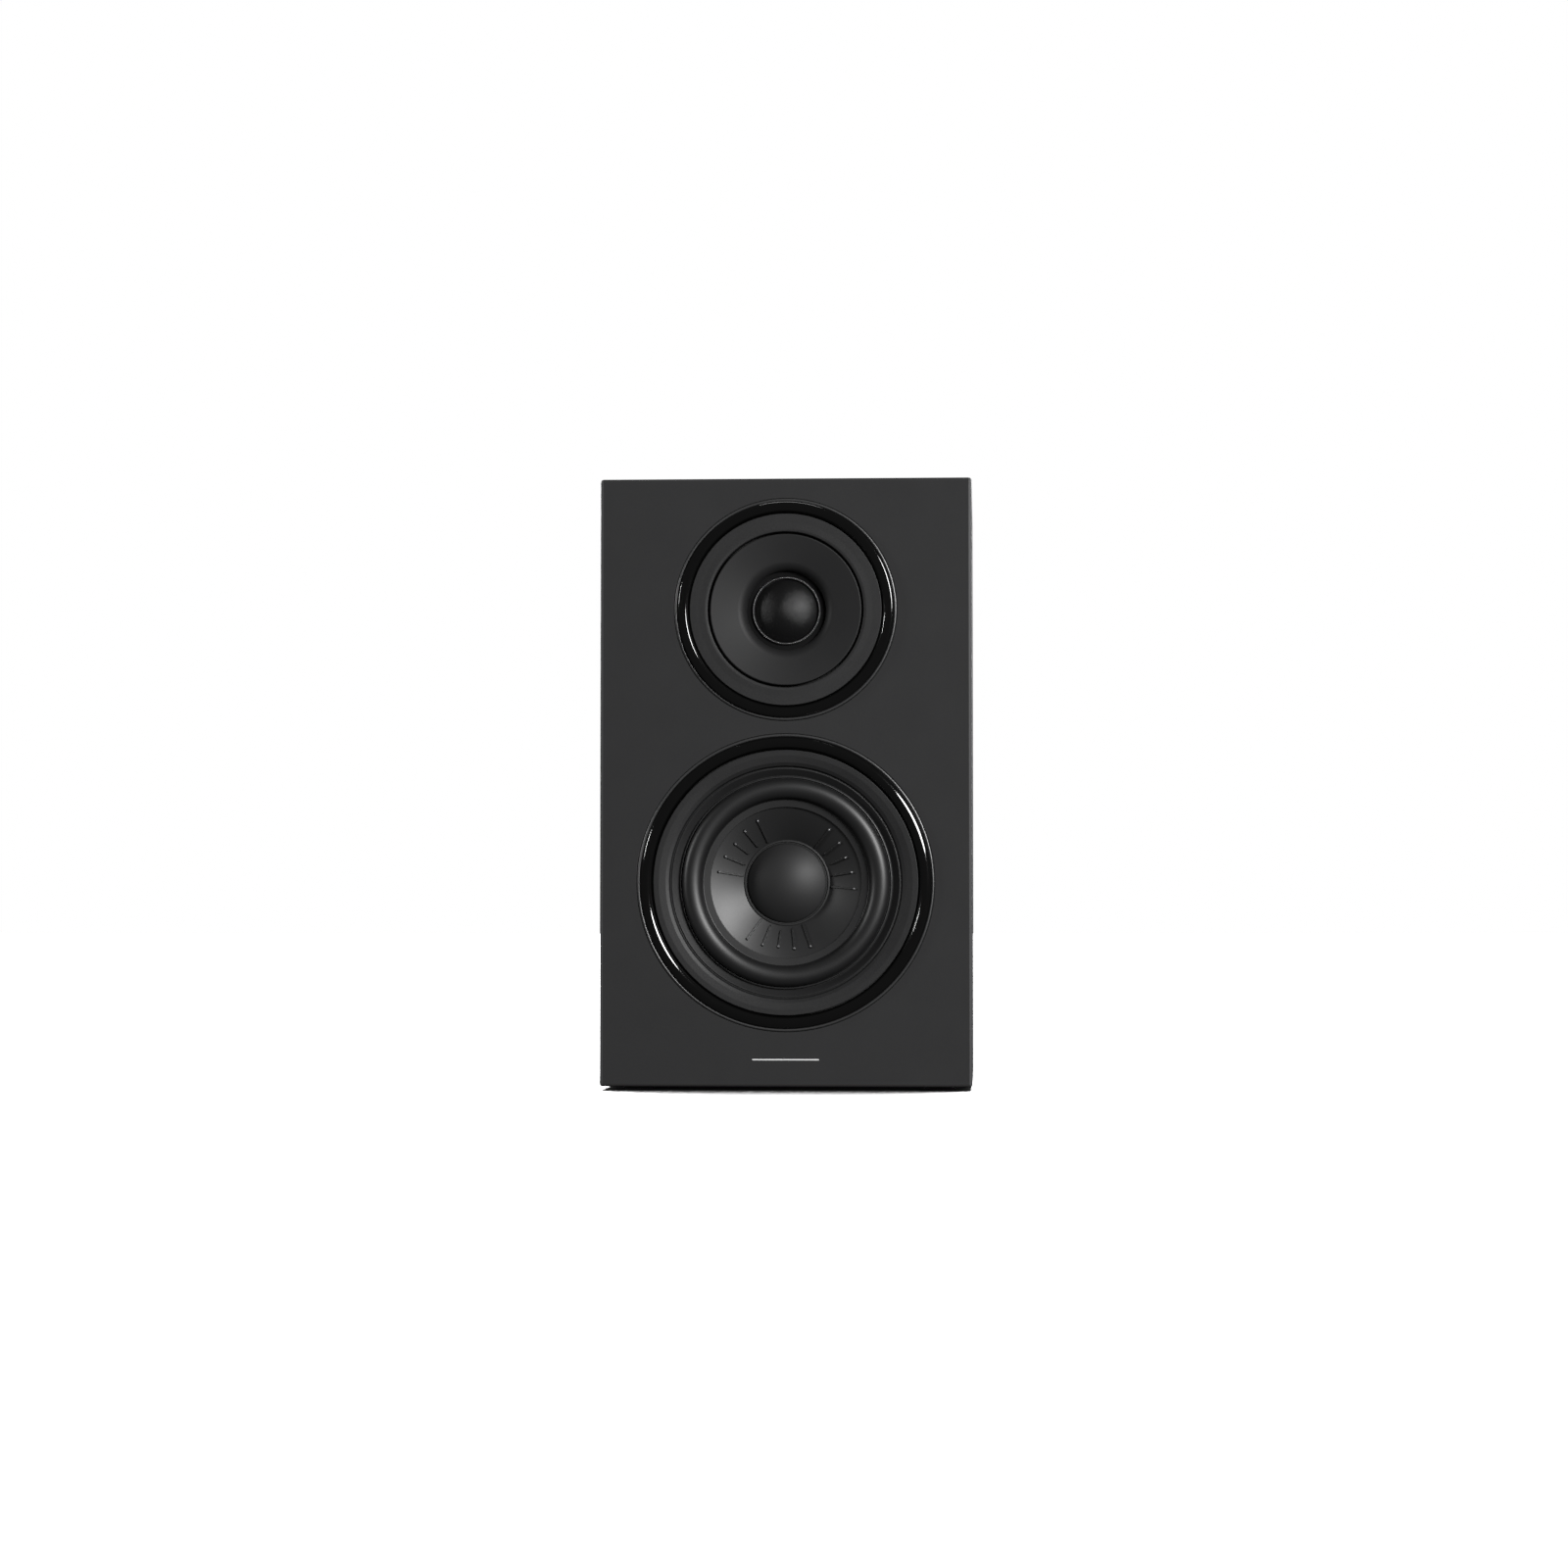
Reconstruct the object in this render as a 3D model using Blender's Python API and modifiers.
"""Bookshelf speaker: a small two-way, rear-ported loudspeaker, modelled piece by piece.

Metres, +Z up.  The front faces -Y and +X is to the right as one faces the speaker.  The origin is
in the middle of the whole object's footprint, on the surface that its feet stand on.

Depths are measured rearwards from the front face of the baffle, so a trim ring that stands proud of
it has a negative depth.  A turned piece hangs on an empty that lies on its axis: the empty's own +Z
points out of the front, and the piece's outline is a list of (radius, depth) points.
"""

import math

import bmesh
import bpy
from mathutils import Matrix, Vector

# ---- driving dimensions, in metres -------------------------------------------------------------
CABINET_W, CABINET_H, CABINET_D = 0.145, 0.237, 0.165
FOOT_R, FOOT_H = 0.006, 0.0015
BAFFLE_T, PANEL_T = 0.016, 0.012
EDGE_R = 0.0012                     # rounding of the baffle's outer edges
GAP = 0.0003                        # clearance between pieces that touch
STEM_END = 0.176                    # depth of the binding posts' outer ends, the rearmost point
TRIM_PROUD = 0.002                  # how far the trim rings stand proud of the baffle

# depths shared by both drivers
REBATE_D = 0.004                    # the baffle is stepped this deep for each driver's flange
SHELF_D = 0.0016                    # top of the flange where the trim ring covers its screws
SCREW_END = 0.0135

# woofer: radii about its axis, and depths
WOOFER_Z = FOOT_H + 0.0793
WOOFER_HOLE_R = 0.0502
WOOFER_TRIM_R, WOOFER_TRIM_BORE_R = 0.0579, 0.0519
WOOFER_FLANGE_R, WOOFER_MOUTH_R = 0.0516, 0.0453
WOOFER_FLANGE_D = -0.0005
SEAT_R, SEAT_BORE_R, SEAT_D = 0.0415, 0.0396, 0.0033
GROOVE_D = 0.0041                   # floor of the groove between the surround and the flange
ROLL_OUT_R, ROLL_IN_R, ROLL_BASE_D, ROLL_H = 0.0402, 0.0330, 0.0026, 0.0036
ROLL_T = 0.0008
CONE_R, CONE_LIP_R, CONE_LIP_D = 0.0322, 0.0291, 0.0046
NECK_R, NECK_D, CONE_T = 0.0130, 0.0130, 0.0009
CAP_R, CAP_EDGE_D, CAP_APEX_D, CAP_T = 0.0160, 0.0105, 0.0048, 0.0008
SPIDER_LEDGE_R, SPIDER_D = 0.0275, 0.0243
MOTOR_D = 0.038                     # front of the woofer's magnet system
MAGNET_R, MAGNET_BORE_R, MAGNET_T = 0.040, 0.016, 0.0147
TOP_PLATE_T, YOKE_T, POLE_R = 0.005, 0.005, 0.0119
PLATE_INSET = 0.003                 # the steel plates are smaller than the magnet by this
COIL_BORE_R, FORMER_R, WINDING_R = 0.0123, 0.0127, 0.0133
GAP_BORE_R = 0.0139                 # hole in the top plate, around the winding
WOOFER_SCREW_R = 0.0546             # radius of the screw circle

# tweeter
TWEETER_Z = FOOT_H + 0.1857
TWEETER_HOLE_R = 0.036
TWEETER_TRIM_R, TWEETER_TRIM_BORE_R = 0.0434, 0.0374
TWEETER_PLATE_R, DISH_SEAT_R, DISH_R = 0.0371, 0.0304, 0.0296
TWEETER_FACE_D = -0.0003
LEDGE_D, PLATE_BACK_D, LEDGE_BORE_R = 0.005, 0.0072, 0.020
THROAT_R, THROAT_D = 0.0136, 0.0072
DOME_R, DOME_BASE_D, DOME_APEX_D, DOME_T = 0.0124, 0.0072, 0.0018, 0.0005
TWEETER_MOTOR_D = 0.0083
TWEETER_MAGNET_R, TWEETER_MAGNET_T, TWEETER_TOP_T = 0.033, 0.0094, 0.003
TWEETER_POLE_R, TWEETER_COIL_R = 0.0115, 0.0120
TWEETER_SCREW_R = 0.0401

# rear: reflex port above, terminal cup below
PORT_Z = FOOT_H + 0.1865
PORT_BORE_R, PORT_WALL, PORT_INNER_D = 0.017, 0.002, 0.077
PORT_HOLE_R, PORT_FLANGE_R, PORT_FLANGE_D = 0.027, 0.030, 0.1675
CUP_Z = FOOT_H + 0.070
CUP_W, CUP_H, CUP_FLANGE_T = 0.050, 0.038, 0.002
CUP_FLANGE_W, CUP_FLANGE_H, CUP_WALL = 0.066, 0.054, 0.002
CUP_FLOOR_D, CUP_FLOOR_T = 0.1543, 0.0022
CUP_SCREW_X, CUP_SCREW_Z = 0.0290, 0.0230
POST_X = 0.0095                     # the posts stand 19 mm apart
STEM_R, BANANA_R, POST_HOLE_R = 0.0030, 0.00205, 0.0033
COLLAR_R, COLLAR_D = 0.0055, 0.1576
WASHER_R, WASHER_T = 0.0060, 0.0010
KNOB_R, KNOB_END = 0.0065, 0.1755

BRACE_Z, BRACE_T = 0.138, 0.008

FINE, STEPS, SMALL = 32, 24, 16     # sides of large, middling and small turned pieces
SCREW_SIDES = 10

# ---- worked out from them ----------------------------------------------------------------------
FRONT_Y = -(STEM_END - TRIM_PROUD) / 2
HALF_W = CABINET_W / 2
TOP_Z = FOOT_H + CABINET_H
INNER_X = HALF_W - PANEL_T - GAP
INNER_BOTTOM, INNER_TOP = FOOT_H + PANEL_T + GAP, TOP_Z - PANEL_T - GAP

CHARCOAL = ("charcoal_finish", (0.040, 0.040, 0.041), 0.55, 0.0)
BLACK_VENEER = ("black_oak_wrap", (0.022, 0.021, 0.020), 0.5, 0.0)
BARE_BOARD = ("mdf_board", (0.36, 0.25, 0.15), 0.85, 0.0)
GLOSS_BLACK = ("gloss_black_plastic", (0.008, 0.008, 0.008), 0.08, 0.0)
MATT_BLACK = ("matt_black_plastic", (0.028, 0.028, 0.029), 0.55, 0.0)
CONE_BLACK = ("coated_cone", (0.045, 0.045, 0.047), 0.38, 0.0)
RUBBER = ("black_rubber", (0.020, 0.020, 0.020), 0.62, 0.0)
DOME_CLOTH = ("coated_cloth", (0.018, 0.018, 0.019), 0.45, 0.0)
SPIDER_CLOTH = ("impregnated_cloth", (0.42, 0.25, 0.08), 0.85, 0.0)
COPPER = ("enamelled_copper", (0.62, 0.25, 0.10), 0.35, 1.0)
STEEL = ("plated_steel", (0.56, 0.55, 0.52), 0.35, 1.0)
FERRITE = ("ferrite", (0.055, 0.055, 0.058), 0.7, 0.0)
GOLD_PLATE = ("gold_plated_brass", (0.86, 0.60, 0.22), 0.25, 1.0)
SCREW_BLACK = ("blackened_steel", (0.030, 0.030, 0.030), 0.4, 1.0)
RED = ("red_plastic", (0.45, 0.012, 0.012), 0.25, 0.0)
BLACK = ("black_plastic", (0.012, 0.012, 0.012), 0.25, 0.0)
HARDBOARD = ("hardboard", (0.20, 0.12, 0.06), 0.9, 0.0)
SLEEVE = ("cable_sleeve", (0.025, 0.025, 0.026), 0.5, 0.0)
BRAID = ("copper_braid", (0.55, 0.24, 0.11), 0.5, 1.0)
FILM = ("capacitor_film", (0.50, 0.36, 0.05), 0.3, 0.0)
FLEECE = ("polyester_fleece", (0.72, 0.71, 0.68), 1.0, 0.0)


# ---- modelling helpers -------------------------------------------------------------------------
def y_at(depth):
    """World Y of a depth behind the front face."""
    return FRONT_Y + depth


def finish_material(finish):
    name, colour, roughness, metallic = finish
    made = bpy.data.materials.get(name)
    if made is None:
        made = bpy.data.materials.new(name)
        made.use_nodes = True
        shader = made.node_tree.nodes["Principled BSDF"]
        shader.inputs["Base Color"].default_value = (*colour, 1.0)
        shader.inputs["Roughness"].default_value = roughness
        shader.inputs["Metallic"].default_value = metallic
        made.diffuse_color = (*colour, 1.0)
    return made


def add_object(name, data, finish, axis=None, location=(0, 0, 0), rotation=(0, 0, 0)):
    """Puts a mesh or curve in the scene: a part if it has a finish, or else a cutter."""
    obj = bpy.data.objects.new(name, data)
    obj.parent = axis
    obj.location = location
    obj.rotation_euler = rotation
    if finish:
        data.materials.append(finish_material(finish))
        PARTS.objects.link(obj)
    else:
        obj.hide_render = True
        obj.display_type = "WIRE"
        CUTTERS.objects.link(obj)
    return obj


def axis_empty(name, x, z):
    """An empty on the front face's plane whose +Z points out of the front."""
    empty = bpy.data.objects.new(name, None)
    empty.empty_display_size = 0.02
    empty.location = (x, FRONT_Y, z)
    empty.rotation_euler = (math.radians(90), 0, 0)
    PARTS.objects.link(empty)
    return empty


def turned(name, axis, outline, finish, steps=STEPS):
    """Turns an outline of (radius, depth) points about an axis.

    The outline is closed, or starts and ends on the axis.  It is put in the order that makes its
    outer side run from front to back, which turns the faces outwards.
    """
    following = outline[1:] + outline[:1]
    doubled_area = sum(r1 * d2 - r2 * d1 for (r1, d1), (r2, d2) in zip(outline, following))
    points = outline if doubled_area > 0 else outline[::-1]
    edges = [(i, i + 1) for i in range(len(points) - 1)]
    if min(r for r, _ in points) > 0:
        edges.append((len(points) - 1, 0))
    mesh = bpy.data.meshes.new(name)
    mesh.from_pydata([(r, 0, -d) for r, d in points], edges, [])
    obj = add_object(name, mesh, finish, axis)
    screw = obj.modifiers.new("Turn", "SCREW")
    screw.steps = screw.render_steps = steps
    screw.use_merge_vertices = True
    screw.merge_threshold = 0.00001
    return obj


def box(name, low, high, finish, rounding=0.0, segments=2):
    """A box between two corners in world space, with rounded edges if asked."""
    low, high = Vector(low), Vector(high)
    mesh = bpy.data.meshes.new(name)
    form = bmesh.new()
    bmesh.ops.create_cube(form, size=1, matrix=Matrix.Diagonal((*(high - low), 1)))
    form.to_mesh(mesh)
    form.free()
    obj = add_object(name, mesh, finish, location=(low + high) / 2)
    if rounding:
        bevel = obj.modifiers.new("Rounded edges", "BEVEL")
        bevel.width = rounding
        bevel.segments = segments
        bevel.limit_method = "ANGLE"
    return obj


def cutter_group(name, shapes, axis=None):
    """One cutter made of several separate boxes or cylinders.

    Each shape is ("box", centre, size) or ("cylinder", centre, (radius, length, rotation matrix)).
    """
    mesh = bpy.data.meshes.new(name)
    form = bmesh.new()
    for kind, centre, size in shapes:
        place = Matrix.Translation(centre)
        if kind == "box":
            bmesh.ops.create_cube(form, size=1, matrix=place @ Matrix.Diagonal((*size, 1)))
        else:
            radius, length, turn = size
            bmesh.ops.create_cone(form, cap_ends=True, segments=SCREW_SIDES, radius1=radius,
                                  radius2=radius, depth=length, matrix=place @ turn)
    form.to_mesh(mesh)
    form.free()
    return add_object(name, mesh, None, axis)


def combine(obj, other, operation="DIFFERENCE"):
    boolean = obj.modifiers.new(other.name, "BOOLEAN")
    boolean.operation = operation
    boolean.solver = "EXACT"
    boolean.object = other
    return obj


def plate(name, outlines, thickness, middle, rotation, finish):
    """A flat plate cut to closed outlines: the first is its edge and the rest are holes."""
    curve = bpy.data.curves.new(name, "CURVE")
    curve.dimensions = "2D"
    curve.fill_mode = "BOTH"
    curve.extrude = thickness / 2
    for outline in outlines:
        spline = curve.splines.new("POLY")
        spline.points.add(len(outline) - 1)
        for point, (u, v) in zip(spline.points, outline):
            point.co = (u, v, 0, 1)
        spline.use_cyclic_u = True
    return as_mesh(add_object(name, curve, finish, location=middle, rotation=rotation))


def tube(name, route, radius, finish, points=14):
    """A round lead along a smooth curve through the route's points, given as (x, depth, z)."""
    places = [Vector((x, y_at(depth), z)) for x, depth, z in route]
    curve = bpy.data.curves.new(name, "CURVE")
    curve.dimensions = "3D"
    curve.bevel_depth = radius
    curve.bevel_resolution = 2
    curve.use_fill_caps = True
    smooth = [through(places, i / (points - 1)) for i in range(points)]
    spline = curve.splines.new("POLY")
    spline.points.add(points - 1)
    for point, place in zip(spline.points, smooth):
        point.co = (*place, 1)
    return as_mesh(add_object(name, curve, finish))


def through(places, share):
    """The point at a share of the way along a Catmull-Rom curve through the places."""
    spans = len(places) - 1
    span = min(int(share * spans), spans - 1)
    t = share * spans - span
    before = places[max(span - 1, 0)]
    start, end = places[span], places[span + 1]
    after = places[min(span + 2, spans)]
    return 0.5 * (2 * start + (end - before) * t + (2 * before - 5 * start + 4 * end - after) * t**2
                  + (3 * start - before - 3 * end + after) * t**3)


def as_mesh(curve_object):
    """Makes a curve object a mesh object with its caps welded to its sides."""
    graph = bpy.context.evaluated_depsgraph_get()
    mesh = bpy.data.meshes.new_from_object(curve_object.evaluated_get(graph))
    form = bmesh.new()
    form.from_mesh(mesh)
    bmesh.ops.remove_doubles(form, verts=form.verts, dist=0.000001)
    bmesh.ops.recalc_face_normals(form, faces=form.faces)
    form.to_mesh(mesh)
    form.free()
    name, collection = curve_object.name, curve_object.users_collection[0]
    placed = curve_object.matrix_world.copy()
    bpy.data.objects.remove(curve_object)
    obj = bpy.data.objects.new(name, mesh)
    obj.matrix_world = placed
    collection.objects.link(obj)
    return obj


def arc(centre_r, centre_d, radius, start, end, count):
    """Points on an arc in the (radius, depth) plane.  0 degrees is outwards, 90 is forwards."""
    angles = [math.radians(start + (end - start) * i / count) for i in range(count + 1)]
    return [(centre_r + radius * math.cos(a), centre_d - radius * math.sin(a)) for a in angles]


def dome(edge_r, edge_d, apex_d, count):
    """Points of a shallow dome from its edge to its apex on the axis."""
    rise = edge_d - apex_d
    radius = (edge_r**2 + rise**2) / (2 * rise)
    half_angle = math.asin(edge_r / radius)
    angles = [half_angle * (1 - i / count) for i in range(count + 1)]
    return [(radius * math.sin(a), apex_d + radius * (1 - math.cos(a))) for a in angles[:-1]] + [
        (0.0, apex_d)
    ]


def dome_shell(edge_r, edge_d, apex_d, thickness, count):
    """A closed outline of a thin dome that starts and ends on the axis."""
    outside = dome(edge_r, edge_d, apex_d, count)[::-1]
    inside = dome(edge_r - thickness, edge_d, apex_d + thickness, count)
    return outside + inside


# ---- cabinet -----------------------------------------------------------------------------------
def front_baffle(woofer, tweeter):
    baffle = box("front_baffle", (-HALF_W, FRONT_Y, FOOT_H), (HALF_W, y_at(BAFFLE_T), TOP_Z),
                 CHARCOAL, EDGE_R)
    for axis, name, rebate_r, hole_r in (
        (woofer, "woofer_hole", WOOFER_TRIM_R + GAP, WOOFER_HOLE_R),
        (tweeter, "tweeter_hole", TWEETER_TRIM_R + GAP, TWEETER_HOLE_R),
    ):
        past = 0.001
        stepped = [(0, -past), (rebate_r, -past), (rebate_r, REBATE_D), (hole_r, REBATE_D),
                   (hole_r, BAFFLE_T + past), (0, BAFFLE_T + past)]
        combine(baffle, turned(name, axis, stepped, None, FINE))
    for axis, name, places in ((woofer, "woofer_pilots", woofer_screw_places()),
                               (tweeter, "tweeter_pilots", tweeter_screw_places())):
        pilot_end = SCREW_END + 0.0008
        size = (0.0014, pilot_end, Matrix.Identity(4))
        holes = [("cylinder", (x, z, -pilot_end / 2), size) for x, z in places]
        combine(baffle, cutter_group(name, holes, axis))


def shell_panels():
    """Four panels mitred where they meet, behind the baffle."""
    ease = GAP / math.sqrt(2)       # along the edge, so that the mitred faces stay a gap apart
    depth = CABINET_D - BAFFLE_T - GAP
    middle_y = y_at(BAFFLE_T + GAP + depth / 2)
    half_h = CABINET_H / 2
    middle = (0, middle_y, FOOT_H + half_h)
    upright = (math.radians(90), 0, 0)

    def mitred(u, v, side):
        """A trapezium along the side at (u, v), with its short edge towards the middle."""
        if side == "flank":
            return [(u, -v + ease), (u, v - ease), (u - math.copysign(PANEL_T, u), v - PANEL_T - ease),
                    (u - math.copysign(PANEL_T, u), -v + PANEL_T + ease)]
        return [(-u + ease, v), (u - ease, v), (u - PANEL_T - ease, v - math.copysign(PANEL_T, v)),
                (-u + PANEL_T + ease, v - math.copysign(PANEL_T, v))]

    for name, u, v, side in (
        ("left_side_panel", -HALF_W, half_h, "flank"),
        ("right_side_panel", HALF_W, half_h, "flank"),
        ("top_panel", HALF_W, half_h, "level"),
        ("bottom_panel", HALF_W, -half_h, "level"),
    ):
        plate(name, [mitred(u, v, side)], depth, middle, upright, BLACK_VENEER)


def circle(u, v, radius, sides):
    turns = [math.tau * i / sides for i in range(sides)]
    return [(u + radius * math.cos(a), v + radius * math.sin(a)) for a in turns]


def rectangle(low_u, low_v, high_u, high_v):
    return [(low_u, low_v), (high_u, low_v), (high_u, high_v), (low_u, high_v)]


def rear_panel():
    """Set in flush between the shell panels, with holes for the port, the cup and its screws."""
    holes = [
        circle(0, PORT_Z, PORT_HOLE_R, STEPS),
        rectangle(-CUP_W / 2 - GAP, CUP_Z - CUP_H / 2 - GAP, CUP_W / 2 + GAP, CUP_Z + CUP_H / 2 + GAP),
    ]
    holes += [circle(x, z, 0.0015, SCREW_SIDES) for x, z in cup_screw_places()]
    edge = rectangle(-INNER_X, INNER_BOTTOM, INNER_X, INNER_TOP)
    plate("rear_panel", [edge, *holes], PANEL_T, (0, y_at(CABINET_D - PANEL_T / 2), 0),
          (math.radians(90), 0, 0), BLACK_VENEER)


def cabinet_brace():
    front, back = BAFFLE_T + 2 * GAP, CABINET_D - PANEL_T - GAP
    rim = 0.018
    outlines = [rectangle(-INNER_X, y_at(front), INNER_X, y_at(back)),
                rectangle(rim - INNER_X, y_at(front + rim), INNER_X - rim, y_at(back - rim))]
    plate("cabinet_brace", outlines, BRACE_T, (0, 0, BRACE_Z + BRACE_T / 2), (0, 0, 0), BARE_BOARD)


def feet():
    side_inset, end_inset = 0.013, 0.026
    for row, depth in (("front", end_inset), ("rear", CABINET_D - end_inset)):
        for side, x in (("left", side_inset - HALF_W), ("right", HALF_W - side_inset)):
            mesh = bpy.data.meshes.new(f"foot_{row}_{side}")
            form = bmesh.new()
            height = FOOT_H - GAP
            bmesh.ops.create_cone(form, cap_ends=True, segments=STEPS, radius1=FOOT_R,
                                  radius2=FOOT_R - 0.0006, depth=height)
            form.to_mesh(mesh)
            form.free()
            add_object(mesh.name, mesh, RUBBER, location=(x, y_at(depth), height / 2))


# ---- fasteners ---------------------------------------------------------------------------------
def around(radius, count, first):
    """(x, z) places on a circle about a driver's axis, from an angle in degrees."""
    turns = [math.radians(first + 360 * i / count) for i in range(count)]
    return [(radius * math.cos(a), radius * math.sin(a)) for a in turns]


def woofer_screw_places():
    return around(WOOFER_SCREW_R, 4, 45)


def tweeter_screw_places():
    return around(TWEETER_SCREW_R, 3, 90)


def cup_screw_places():
    return [(x, CUP_Z + z) for x in (-CUP_SCREW_X, CUP_SCREW_X) for z in (-CUP_SCREW_Z, CUP_SCREW_Z)]


def countersunk(extra=0.0):
    """Outline of a countersunk screw, or of the space for it when extra is a clearance."""
    head_r, shank_r, head_d, neck_d = 0.0020, 0.0010, SHELF_D + 0.0001, 0.0027
    return [(0, head_d - 2 * extra), (head_r + extra, head_d - 2 * extra), (head_r + extra, head_d),
            (shank_r + extra, neck_d), (shank_r + extra, SCREW_END - 0.002), (0, SCREW_END)]


def flange_screws(prefix, places, flange, axis):
    """Countersunk screws through a driver's flange, and the holes that they pass through."""
    for number, (x, z) in enumerate(places, 1):
        name = f"{prefix}_screw_{number}"
        turned(name, axis, countersunk(), SCREW_BLACK, SCREW_SIDES).location = (x, z, 0)
        hole = turned(f"{name}_hole", axis, countersunk(GAP), None, SCREW_SIDES)
        hole.location = (x, z, 0)
        combine(flange, hole)


# ---- woofer ------------------------------------------------------------------------------------
def trim_ring(name, axis, outer_r, bore_r):
    """A crowned ring over the flange's screws, standing proud of the baffle."""
    base_d, rim, edge_d = SHELF_D - GAP, 0.0008, -0.0003
    crown_r, half = (outer_r - rim + bore_r) / 2, (outer_r - rim - bore_r) / 2
    outline = [(bore_r, base_d), (outer_r, base_d), (outer_r, edge_d), (outer_r - rim, edge_d)]
    for turn in (20, 45, 70, 90, 110, 135, 160):
        a = math.radians(turn)
        outline.append((crown_r + half * math.cos(a), edge_d - (TRIM_PROUD + edge_d) * math.sin(a)))
    outline.append((bore_r, edge_d))
    turned(name, axis, outline, GLOSS_BLACK, FINE)


def woofer_basket(axis):
    """Frame of the woofer: flange, surround seat, tapering wall, spider ledge and floor."""
    flange_back, seat_back, shoulder_d = REBATE_D - GAP, SEAT_D + 0.0022, 0.009
    outer_wall_r, inner_wall_r = 0.0485, 0.0462
    waist_r, waist_d = 0.0360, 0.030
    floor_r, floor_t, floor_back = 0.0340, 0.002, MOTOR_D - GAP
    ledge_foot_r, ledge_t, ledge_end_r = 0.0336, 0.002, 0.0370
    outline = [
        (WOOFER_MOUTH_R, WOOFER_FLANGE_D), (WOOFER_FLANGE_R, WOOFER_FLANGE_D),
        (WOOFER_FLANGE_R, SHELF_D), (WOOFER_TRIM_R, SHELF_D), (WOOFER_TRIM_R, flange_back),
        (WOOFER_HOLE_R - 2 * GAP, flange_back), (outer_wall_r, shoulder_d), (waist_r, waist_d),
        (floor_r, floor_back), (GAP_BORE_R, floor_back), (GAP_BORE_R, MOTOR_D - floor_t),
        (floor_r - floor_t, MOTOR_D - floor_t), (ledge_foot_r, SPIDER_D + 1.5 * ledge_t),
        (SPIDER_LEDGE_R, SPIDER_D + ledge_t), (SPIDER_LEDGE_R, SPIDER_D), (ledge_end_r, SPIDER_D),
        (inner_wall_r, shoulder_d), (inner_wall_r, seat_back), (SEAT_BORE_R, seat_back),
        (SEAT_BORE_R, SEAT_D), (SEAT_R, SEAT_D), (SEAT_R, GROOVE_D), (WOOFER_MOUTH_R - GAP, GROOVE_D),
    ]
    basket = turned("woofer_basket", axis, outline, MATT_BLACK, FINE)
    windows, long_way = [], 0.030
    upper, lower = (0.045, 0.0115, 0.0220, 0.030), (0.036, 0.0285, 0.0350, 0.024)
    for u, v in around(1, 4, 0):
        for reach, front, back, width in (upper, lower):
            depth = back - front
            size = (long_way if abs(u) > 0.5 else width, long_way if abs(v) > 0.5 else width, depth)
            windows.append(("box", (u * reach, v * reach, -(front + back) / 2), size))
    combine(basket, cutter_group("basket_windows", windows, axis))
    flange_screws("woofer", woofer_screw_places(), basket, axis)


def woofer_surround(axis):
    """Half-roll rubber suspension between its seat on the basket and the rim of the cone."""
    middle_r, half = (ROLL_OUT_R + ROLL_IN_R) / 2, (ROLL_OUT_R - ROLL_IN_R) / 2
    count = 6

    def roll(reach, height):
        """A half-ellipse from the outer foot of the roll over its crest to the inner foot."""
        turns = [math.pi * i / count for i in range(count + 1)]
        return [(middle_r + reach * math.cos(a), ROLL_BASE_D - height * math.sin(a)) for a in turns]

    seat_d, glue_d, rim_r, rim_d, lip_t = SEAT_D - GAP, CONE_LIP_D - GAP, SEAT_R - GAP, 0.0019, 0.0007
    outline = [(rim_r, seat_d), (rim_r, rim_d), (ROLL_OUT_R + 0.0003, rim_d)]
    outline += roll(half, ROLL_H)
    outline += [(CONE_LIP_R, glue_d - lip_t), (CONE_LIP_R, glue_d), (CONE_R + GAP, glue_d)]
    outline += roll(half - ROLL_T, ROLL_H - ROLL_T)[::-1]
    outline += [(SEAT_BORE_R - GAP, seat_d)]
    turned("woofer_surround", axis, outline, RUBBER, FINE)


def woofer_cone(axis):
    collar_r, collar_d, collar_end = NECK_R + 0.0012, NECK_D + 0.0005, NECK_D + 0.0020
    outline = [(CONE_R, CONE_LIP_D), (CONE_R, CONE_LIP_D + CONE_T), (CONE_LIP_R, CONE_LIP_D + CONE_T),
               (collar_r, collar_d), (collar_r, collar_end), (NECK_R, collar_end), (NECK_R, NECK_D),
               (CONE_LIP_R, CONE_LIP_D)]
    turned("woofer_cone", axis, outline, CONE_BLACK, FINE)


def former_and_winding(name, axis, bore_r, front_d, former_end, winding_r, winding):
    """A voice coil: a thin tube with its winding near the rear end."""
    start, end = winding
    wall_r = bore_r + 0.0004
    outline = [(bore_r, front_d), (wall_r, front_d), (wall_r, start), (winding_r, start),
               (winding_r, end), (wall_r, end), (wall_r, former_end), (bore_r, former_end)]
    turned(name, axis, outline, COPPER, STEPS)


def woofer_spider(axis):
    """Corrugated centring disc from the voice coil to the basket's ledge."""
    inner_r, outer_r, wave, thick, count = FORMER_R + GAP, 0.0315, 0.0009, 0.0005, 12
    middle_d = SPIDER_D - GAP - thick
    shares = [i / count for i in range(count + 1)]
    front = [(inner_r + (outer_r - inner_r) * s, middle_d - wave * math.sin(3 * math.tau * s) * (s < 0.84))
             for s in shares]
    back = [(r, d + thick) for r, d in front]
    turned("woofer_spider", axis, front + back[::-1], SPIDER_CLOTH, STEPS)


def ring(name, axis, bore_r, outer_r, front_d, back_d, finish, steps=STEPS):
    outline = [(bore_r, front_d), (outer_r, front_d), (outer_r, back_d), (bore_r, back_d)]
    turned(name, axis, outline, finish, steps)


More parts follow.
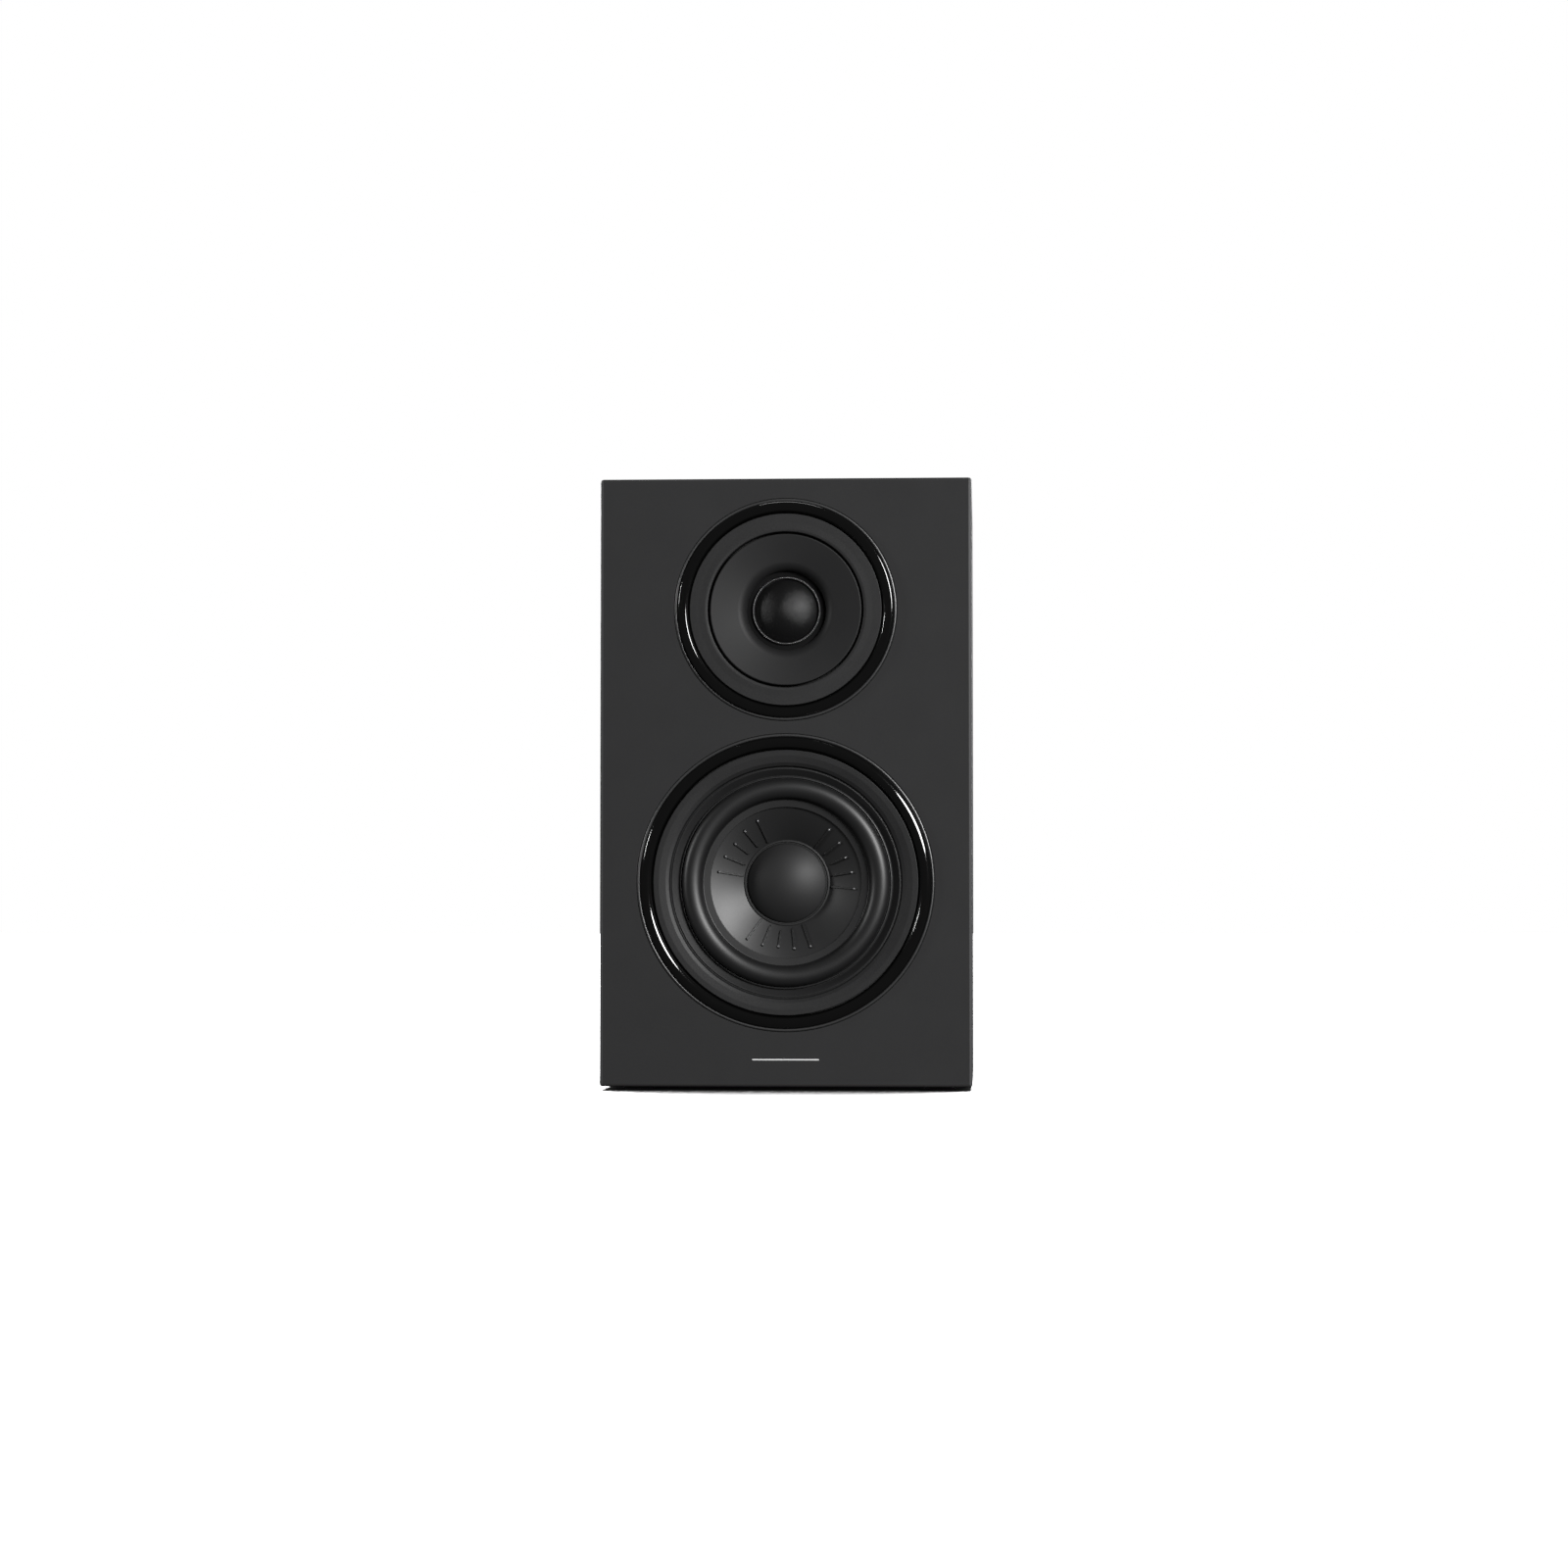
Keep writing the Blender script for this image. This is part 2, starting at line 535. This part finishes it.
def yoke(name, axis, pole_r, pole_d, plate_r, plate_d, plate_t):
    """Rear plate with the pole piece that stands in the middle of the voice coil."""
    outline = [(0, pole_d), (pole_r, pole_d), (pole_r, plate_d), (plate_r, plate_d),
               (plate_r, plate_d + plate_t), (0, plate_d + plate_t)]
    turned(name, axis, outline, STEEL)


def woofer_motor(axis):
    magnet_d = MOTOR_D + TOP_PLATE_T + GAP
    yoke_d = magnet_d + MAGNET_T + GAP
    ring("woofer_top_plate", axis, GAP_BORE_R, MAGNET_R - PLATE_INSET, MOTOR_D, MOTOR_D + TOP_PLATE_T, STEEL)
    ring("woofer_magnet", axis, MAGNET_BORE_R, MAGNET_R, magnet_d, magnet_d + MAGNET_T, FERRITE)
    yoke("woofer_yoke", axis, POLE_R, MOTOR_D, MAGNET_R - PLATE_INSET, yoke_d, YOKE_T)


def woofer_tag_board():
    """Insulating plate under the basket's lowest window, with the two tags of the woofer's leads."""
    depth, thick, top_r, bottom_r, half_w = 0.0240, 0.0016, 0.0415, 0.0500, 0.009
    board = box("woofer_tag_board", (-half_w, y_at(depth), WOOFER_Z - bottom_r),
                (half_w, y_at(depth + thick), WOOFER_Z - top_r), HARDBOARD)
    tags = [("box", (side * 0.005, y_at(depth + thick / 2), WOOFER_Z - bottom_r - 0.002),
             (0.0028, 0.0008, 0.008)) for side in (-1, 1)]
    combine(board, cutter_group("tag_blades", tags), "UNION")


def tinsel_leads():
    """Flexible leads from the back of the cone, out of the lowest window, to the tag board."""
    for side, x in (("left", -0.004), ("right", 0.004)):
        route = [(x, 0.0116, WOOFER_Z - 0.020), (x, 0.0157, WOOFER_Z - 0.026),
                 (x, 0.0182, WOOFER_Z - 0.035), (x, 0.0196, WOOFER_Z - 0.042),
                 (x * 1.2, 0.0231, WOOFER_Z - 0.0445)]
        tube(f"tinsel_lead_{side}", route, 0.0005, BRAID, points=10)


# ---- tweeter -----------------------------------------------------------------------------------
def tweeter_faceplate(axis):
    """Ring that carries the dish, with a lower shelf for the trim ring and a ledge inside."""
    outline = [(DISH_SEAT_R, TWEETER_FACE_D), (TWEETER_PLATE_R, TWEETER_FACE_D),
               (TWEETER_PLATE_R, SHELF_D), (TWEETER_TRIM_R, SHELF_D),
               (TWEETER_TRIM_R, REBATE_D - GAP), (TWEETER_HOLE_R - 0.0008, REBATE_D - GAP),
               (TWEETER_HOLE_R - 0.0008, PLATE_BACK_D), (LEDGE_BORE_R, PLATE_BACK_D),
               (LEDGE_BORE_R, LEDGE_D), (DISH_SEAT_R, LEDGE_D)]
    faceplate = turned("tweeter_faceplate", axis, outline, MATT_BLACK, FINE)
    flange_screws("tweeter", tweeter_screw_places(), faceplate, axis)


def tweeter_waveguide(axis):
    """Shallow dish that rolls over a lip into the throat around the dome."""
    wall_r, lip_round, lip_d, floor_t = 0.0155, 0.00435, 0.00633, 0.0007
    step_r, step_d = LEDGE_BORE_R - GAP, LEDGE_D - GAP
    outline = [(DISH_R, 0), (DISH_R, step_d), (step_r, step_d), (step_r, THROAT_D),
               (THROAT_R, THROAT_D), (THROAT_R, THROAT_D - floor_t), (wall_r, THROAT_D - floor_t)]
    outline += arc(wall_r + lip_round, lip_d, lip_round, 180, 101, 6)
    turned("tweeter_waveguide", axis, outline, MATT_BLACK, FINE)


def tweeter_surround(axis):
    """Small half-roll around the dome, with a flat rim held behind the dish."""
    roll_r, roll_half = 0.0131, 0.0004
    front_d, back_d = THROAT_D + GAP, TWEETER_MOTOR_D - GAP
    outline = [(0.0175, back_d), (0.0175, front_d), (roll_r + roll_half, front_d)]
    outline += arc(roll_r, front_d, roll_half, 30, 150, 3)
    outline += [(roll_r - roll_half, front_d), (roll_r - roll_half, back_d)]
    turned("tweeter_surround", axis, outline, DOME_CLOTH, STEPS)


def tweeter_motor(axis):
    top_d = TWEETER_MOTOR_D
    magnet_d = top_d + TWEETER_TOP_T + GAP
    yoke_d = magnet_d + TWEETER_MAGNET_T + GAP
    gap_bore_r, magnet_bore_r, plate_r, plate_t = 0.0131, 0.015, TWEETER_MAGNET_R - 0.002, 0.0037
    ring("tweeter_top_plate", axis, gap_bore_r, TWEETER_MAGNET_R, top_d, top_d + TWEETER_TOP_T, STEEL)
    ring("tweeter_magnet", axis, magnet_bore_r, TWEETER_MAGNET_R, magnet_d, magnet_d + TWEETER_MAGNET_T,
         FERRITE)
    yoke("tweeter_yoke", axis, TWEETER_POLE_R, top_d + GAP, plate_r, yoke_d, plate_t)


# ---- rear: port, terminal cup and binding posts ------------------------------------------------
def port_tube():
    """Flared tube that opens in the rear panel, with a flange on the panel's face."""
    axis = axis_empty("port_axis", 0, PORT_Z)
    flare = 0.009
    body_r, body_d, step_d = PORT_HOLE_R - GAP, 0.158, 0.150
    outer_r = PORT_BORE_R + PORT_WALL
    seat_d = CABINET_D + GAP
    outline = [(outer_r, PORT_INNER_D), (outer_r, step_d), (body_r, body_d), (body_r, seat_d),
               (PORT_FLANGE_R, seat_d), (PORT_FLANGE_R, PORT_FLANGE_D)]
    outline += arc(PORT_BORE_R + flare, PORT_FLANGE_D - flare, flare, 270, 180, 5)
    outline += [(PORT_BORE_R, PORT_INNER_D + 0.0015), (PORT_BORE_R + 0.001, PORT_INNER_D)]
    turned("port_tube", axis, outline, MATT_BLACK, STEPS)


def terminal_cup():
    """Moulded tray let into the rear panel, with a hole in its floor for each post."""
    seat_d, face_d = CABINET_D + GAP, CABINET_D + GAP + CUP_FLANGE_T
    cup = box("terminal_cup", (-CUP_FLANGE_W / 2, y_at(seat_d), CUP_Z - CUP_FLANGE_H / 2),
              (CUP_FLANGE_W / 2, y_at(face_d), CUP_Z + CUP_FLANGE_H / 2), MATT_BLACK)
    floor_back = CUP_FLOOR_D - CUP_FLOOR_T
    past = 0.0005
    body_depth = seat_d + past - floor_back
    body = ("box", (0, y_at(floor_back + body_depth / 2), CUP_Z), (CUP_W, body_depth, CUP_H))
    combine(cup, cutter_group("cup_body", [body]), "UNION")
    recess_depth = face_d + past - CUP_FLOOR_D
    recess = ("box", (0, y_at(CUP_FLOOR_D + recess_depth / 2), CUP_Z),
              (CUP_W - 2 * CUP_WALL, recess_depth, CUP_H - 2 * CUP_WALL))
    along_y = Matrix.Rotation(math.radians(90), 4, "X")
    holes = [("cylinder", (x, y_at(floor_back + 0.001), CUP_Z), (POST_HOLE_R, 0.006, along_y))
             for x in (-POST_X, POST_X)]
    holes += [("cylinder", (x, y_at(seat_d + 0.001), z), (0.0015, 0.004, along_y))
              for x, z in cup_screw_places()]
    combine(cup, cutter_group("cup_recess", [recess]))
    combine(cup, cutter_group("cup_holes", holes))


def cup_screws():
    """Pan-head screws that hold the cup to the rear panel."""
    seat = CABINET_D + CUP_FLANGE_T + 2 * GAP
    outline = [(0, seat - 0.0125), (0.0011, seat - 0.011), (0.0011, seat), (0.0027, seat),
               (0.0027, seat + 0.0009), (0.0019, seat + 0.0016), (0, seat + 0.0017)]
    for number, (x, z) in enumerate(cup_screw_places(), 1):
        turned(f"terminal_screw_{number}", axis_empty(f"terminal_screw_axis_{number}", x, z), outline,
               SCREW_BLACK, SCREW_SIDES)


def binding_post(colour, x, finish):
    """A threaded stem with its inner nut and collar, a captive washer and the knob that clamps it."""
    axis = axis_empty(f"{colour}_post_axis", x, CUP_Z)
    floor_back = CUP_FLOOR_D - CUP_FLOOR_T
    tail_r, tail_d, nut_r, nut_d, bore_end = 0.0018, 0.1440, 0.0048, 0.1475, 0.1625
    outline = [(0, tail_d), (tail_r, tail_d), (tail_r, nut_d), (nut_r, nut_d),
               (nut_r, floor_back - GAP), (STEM_R, floor_back - GAP), (STEM_R, CUP_FLOOR_D + GAP),
               (COLLAR_R, CUP_FLOOR_D + GAP), (COLLAR_R, COLLAR_D), (STEM_R, COLLAR_D),
               (STEM_R, STEM_END), (BANANA_R, STEM_END), (BANANA_R, bore_end), (0, bore_end)]
    stem = turned(f"{colour}_post_stem", axis, outline, GOLD_PLATE, SMALL)
    hole_r, past = 0.0011, 0.004
    hole_d = COLLAR_D + GAP + hole_r + 0.0006
    cross = ("cylinder", (0, 0, -hole_d), (hole_r, 2 * past, Matrix.Rotation(math.radians(90), 4, "X")))
    combine(stem, cutter_group(f"{colour}_wire_hole", [cross], axis))
    washer_d = COLLAR_D + GAP
    ring(f"{colour}_post_washer", axis, POST_HOLE_R, WASHER_R, washer_d, washer_d + WASHER_T,
         GOLD_PLATE, SMALL)
    knob_d = washer_d + WASHER_T + GAP
    knob = [(POST_HOLE_R, knob_d), (KNOB_R - 0.0005, knob_d), (KNOB_R, knob_d + 0.0005),
            (KNOB_R, KNOB_END - 0.001), (KNOB_R - 0.001, KNOB_END), (POST_HOLE_R, KNOB_END)]
    turned(f"{colour}_post_knob", axis, knob, finish, STEPS)


# ---- crossover, leads and wadding --------------------------------------------------------------
BOARD_TOP = INNER_BOTTOM + 0.003


def upright_axis(name, x, depth, z, rotation=(0, 0, 0)):
    """An empty for a turned piece that doesn't point forwards: its outline's depths run along -Z."""
    empty = axis_empty(name, x, z)
    empty.location.y = y_at(depth)
    empty.rotation_euler = rotation
    return empty


def crossover():
    box("crossover_board", (-0.050, y_at(0.078), INNER_BOTTOM), (0.050, y_at(0.144), BOARD_TOP), HARDBOARD)
    floor = BOARD_TOP + GAP
    coils = (
        ("woofer_inductor", -0.028, 0.111, 0.0170, 0.0080, 0.015, (0, 0, 0)),
        ("tweeter_inductor", 0.028, 0.107, 0.0110, 0.0055, 0.009, (math.radians(90), 0, 0)),
    )
    for name, x, depth, outer_r, bore_r, width, rotation in coils:
        lying = rotation[0] == 0
        axis = upright_axis(f"{name}_axis", x, depth, floor + (width if lying else outer_r), rotation)
        flange, groove = 0.0010, 0.0012
        outline = [(bore_r, 0), (outer_r, 0), (outer_r, flange), (outer_r - groove, flange),
                   (outer_r - groove, width - flange), (outer_r, width - flange), (outer_r, width),
                   (bore_r, width)]
        turned(name, axis, outline, COPPER, SMALL)
    length, radius, lead_r, lead = 0.028, 0.009, 0.0005, 0.004
    axis = upright_axis("tweeter_capacitor_axis", 0.026 + length / 2, 0.130, floor + radius,
                        (0, math.radians(90), 0))
    outline = [(0, -lead), (lead_r, -lead), (lead_r, 0), (radius - 0.0008, 0), (radius, 0.0008),
               (radius, length - 0.0008), (radius - 0.0008, length), (lead_r, length),
               (lead_r, length + lead), (0, length + lead)]
    turned("tweeter_capacitor", axis, outline, FILM, SMALL)


def internal_cables():
    """Leads inside the cabinet, each between two fixed terminals.  Routes are (x, depth, z)."""
    on_board = BOARD_TOP + GAP + 0.0018
    input_route = [(0, 0.1445, 0.0655), (0, 0.1400, 0.0540), (0, 0.1360, 0.0400),
                   (-0.001, 0.1300, 0.0270), (-0.002, 0.1180, on_board)]
    woofer_route = [(-0.018, 0.0860, on_board), (-0.015, 0.0740, 0.0205), (-0.009, 0.0600, 0.0240),
                    (-0.003, 0.0430, 0.0290), (0, 0.0285, 0.0330)]
    tweeter_route = [(0.036, 0.0880, on_board), (0.046, 0.0850, 0.0230), (0.0525, 0.0800, 0.0450),
                     (0.0530, 0.0750, 0.0850), (0.0480, 0.0700, 0.1200), (0.0380, 0.0640, 0.1420),
                     (0.0370, 0.0500, 0.1650), (0.0380, 0.0330, 0.1800), (0.0380, 0.0190, 0.1860)]
    tube("input_cable", input_route, 0.0016, SLEEVE)
    tube("woofer_cable", woofer_route, 0.0016, SLEEVE)
    tube("tweeter_cable", tweeter_route, 0.0012, SLEEVE, points=24)


def damping_wadding():
    """A soft pad behind the woofer, rounded by subdivision from a coarse cage."""
    pad = box("damping_wadding", (-0.056, y_at(0.076), 0.0935), (0.043, y_at(0.148), 0.1345), FLEECE)
    crease = pad.modifiers.new("Cage", "SUBSURF")
    crease.subdivision_type = "SIMPLE"
    crease.levels = crease.render_levels = 1
    soft = pad.modifiers.new("Soft", "SUBSURF")
    soft.levels = soft.render_levels = 1


# ---- putting it together -----------------------------------------------------------------------
def settle(obj):
    """Applies a part's modifiers and shades it smooth between its sharp edges."""
    graph = bpy.context.evaluated_depsgraph_get()
    mesh = bpy.data.meshes.new_from_object(obj.evaluated_get(graph))
    mesh.shade_smooth()
    mesh.set_sharp_from_angle(angle=math.radians(32))
    mesh.name = obj.name
    return mesh


def build_speaker():
    feet()
    woofer = axis_empty("woofer_axis", 0, WOOFER_Z)
    tweeter = axis_empty("tweeter_axis", 0, TWEETER_Z)
    front_baffle(woofer, tweeter)
    shell_panels()
    rear_panel()
    cabinet_brace()

    trim_ring("woofer_trim_ring", woofer, WOOFER_TRIM_R, WOOFER_TRIM_BORE_R)
    woofer_basket(woofer)
    woofer_surround(woofer)
    woofer_cone(woofer)
    turned("woofer_dust_cap", woofer, dome_shell(CAP_R, CAP_EDGE_D, CAP_APEX_D, CAP_T, 5), CONE_BLACK)
    former_and_winding("woofer_voice_coil", woofer, COIL_BORE_R, NECK_D - GAP, MOTOR_D + 0.0068, WINDING_R,
                       (MOTOR_D - 0.0015, MOTOR_D + 0.0065))
    woofer_spider(woofer)
    woofer_motor(woofer)
    woofer_tag_board()
    tinsel_leads()

    trim_ring("tweeter_trim_ring", tweeter, TWEETER_TRIM_R, TWEETER_TRIM_BORE_R)
    tweeter_faceplate(tweeter)
    tweeter_waveguide(tweeter)
    tweeter_surround(tweeter)
    turned("tweeter_dome", tweeter, dome_shell(DOME_R, DOME_BASE_D, DOME_APEX_D, DOME_T, 6), DOME_CLOTH)
    former_and_winding("tweeter_voice_coil", tweeter, TWEETER_COIL_R, DOME_BASE_D + GAP, 0.0115,
                       TWEETER_COIL_R + 0.0007, (TWEETER_MOTOR_D + 0.0004, TWEETER_MOTOR_D + 0.0027))
    tweeter_motor(tweeter)

    port_tube()
    terminal_cup()
    cup_screws()
    binding_post("red", -POST_X, RED)
    binding_post("black", POST_X, BLACK)
    crossover()
    internal_cables()
    damping_wadding()


for old in list(bpy.data.objects):
    bpy.data.objects.remove(old)
PARTS = bpy.data.collections.new("bookshelf_speaker")
CUTTERS = bpy.data.collections.new("cutters")
for made in (PARTS, CUTTERS):
    bpy.context.scene.collection.children.link(made)
build_speaker()
bpy.context.view_layer.update()
settled = {obj: settle(obj) for obj in PARTS.objects if obj.type == "MESH"}
for obj, mesh in settled.items():
    obj.modifiers.clear()
    obj.data = mesh
